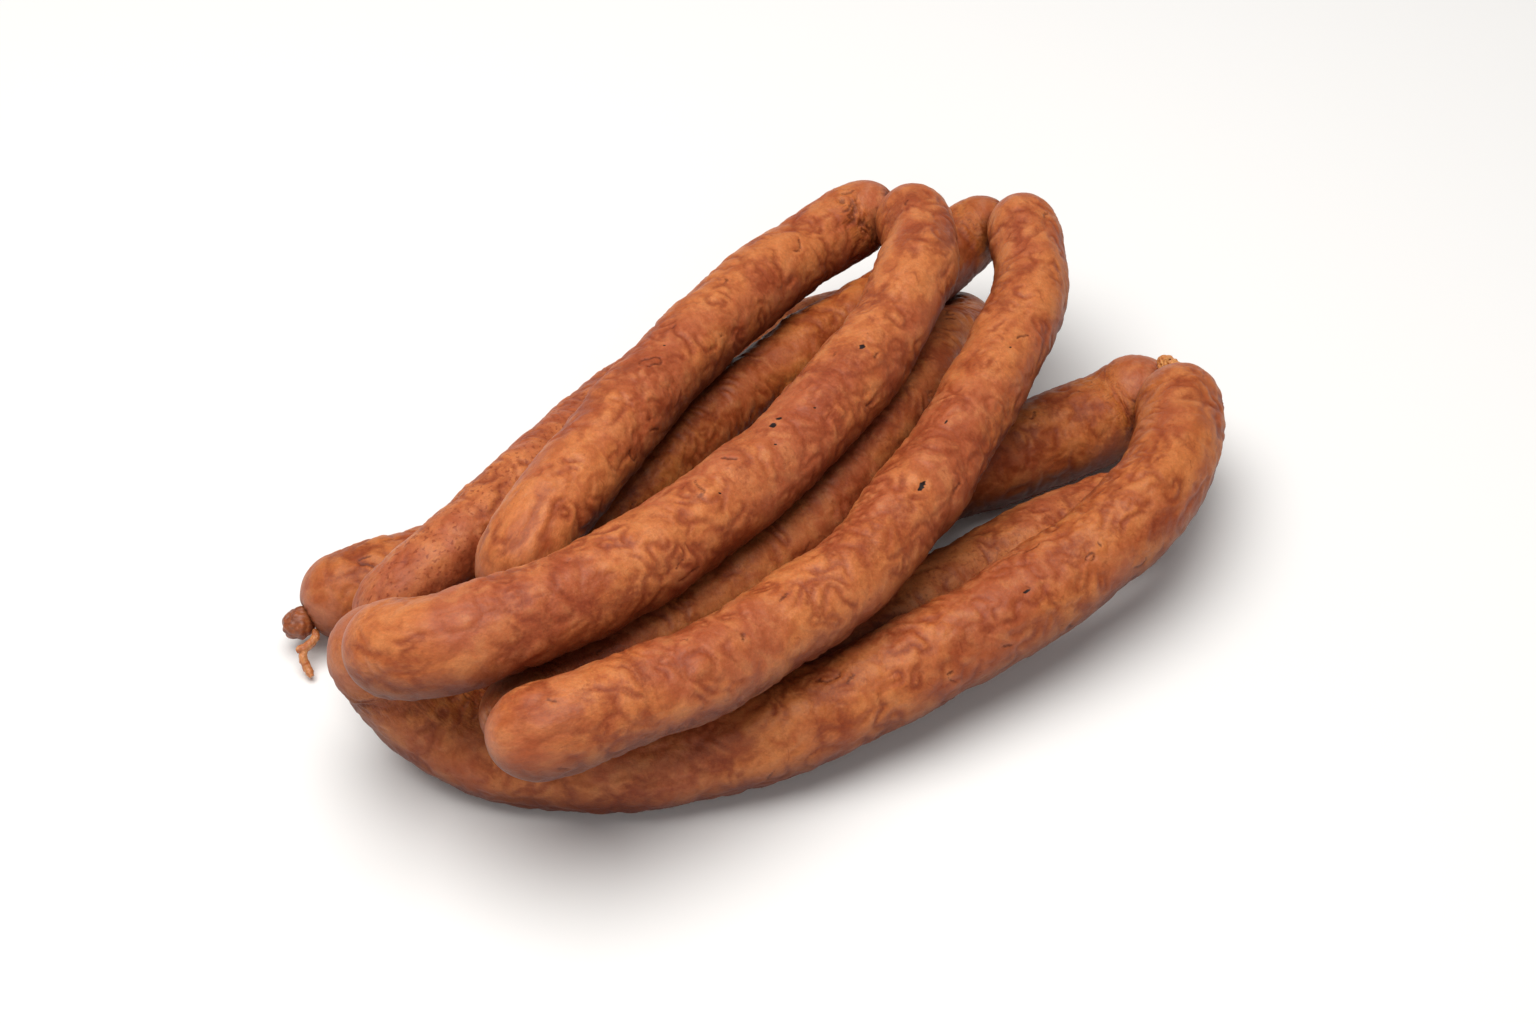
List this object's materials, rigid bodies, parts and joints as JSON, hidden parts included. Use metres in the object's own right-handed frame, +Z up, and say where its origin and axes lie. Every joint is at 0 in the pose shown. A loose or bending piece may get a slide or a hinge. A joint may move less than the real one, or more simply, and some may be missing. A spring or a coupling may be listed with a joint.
{
  "type": "cured sausage",
  "caption": "String of thin smoked cured sausages in wrinkled casing, joined by casing twists and heaped in curved, overlapping layers with a loose casing tail.",
  "frame": {"origin": "middle of the heap's outline, on the table it lies on", "axes": "+X along the heap, from the casing tail towards the outermost fold; +Z up; the front of the heap faces -Y"},
  "size_m": [0.2902, 0.253, 0.081],
  "materials": {
    "smoked_casing": "satin",
    "twisted_casing": "satin",
    "loose_casing": "satin"
  },
  "bodies": {
    "root": {"link_back_low": "smoked_casing", "link_front_low": "smoked_casing", "link_top_middle": "smoked_casing", "link_top_back": "smoked_casing", "link_middle_back": "smoked_casing", "link_top_front": "smoked_casing", "link_middle_front": "smoked_casing", "link_middle_left": "smoked_casing", "link_inner_low": "smoked_casing", "knot_left": "smoked_casing", "twist_right_low": "twisted_casing", "twist_left_front": "twisted_casing", "twist_right_back": "twisted_casing", "twist_left_back": "twisted_casing", "twist_right_top": "twisted_casing", "twist_left_middle": "twisted_casing", "twist_right_middle": "twisted_casing", "twist_left_low": "twisted_casing", "knot_right": "twisted_casing", "casing_tail": "loose_casing", "casing_tuft": "loose_casing"}
  },
  "joints": []
}
